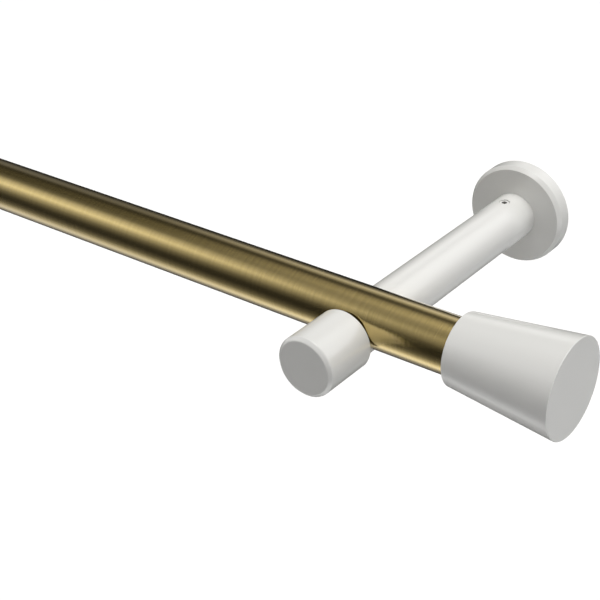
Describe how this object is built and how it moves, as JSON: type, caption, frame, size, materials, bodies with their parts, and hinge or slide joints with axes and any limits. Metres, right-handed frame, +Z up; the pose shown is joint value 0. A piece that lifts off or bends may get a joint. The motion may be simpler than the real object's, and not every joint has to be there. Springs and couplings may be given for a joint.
{
  "type": "curtain rod",
  "caption": "Round brass-coloured curtain rod on two white round-arm wall brackets with front caps, round wall rosettes and flared cone finials.",
  "frame": {"origin": "in the wall plane, midway between the two brackets, at the height of the bracket arms' axes", "axes": "+X along the rod to the right as seen from the room, +Y into the wall, +Z up"},
  "size_m": [1.238, 0.1406, 0.0421],
  "materials": {
    "antique_brass": "satin antique brass, finely brushed around the tube",
    "white_coat": "satin warm white powder coat",
    "zinc_plate": "bright zinc plating",
    "screw_steel": "bright zinc plating, fine turned ends"
  },
  "bodies": {
    "root": {"rod_tube": "antique_brass", "arm_left": "white_coat", "arm_screw_left": "white_coat", "rosette_left": "white_coat", "cap_left": "white_coat", "finial_left": "white_coat", "wall_plate_left": "zinc_plate", "spigot_left": "zinc_plate", "saddle_screw_left": "screw_steel", "finial_screw_left": "screw_steel", "cap_stud_left": "screw_steel", "arm_right": "white_coat", "arm_screw_right": "white_coat", "rosette_right": "white_coat", "cap_right": "white_coat", "finial_right": "white_coat", "wall_plate_right": "zinc_plate", "spigot_right": "zinc_plate", "saddle_screw_right": "screw_steel", "finial_screw_right": "screw_steel", "cap_stud_right": "screw_steel"}
  },
  "joints": []
}
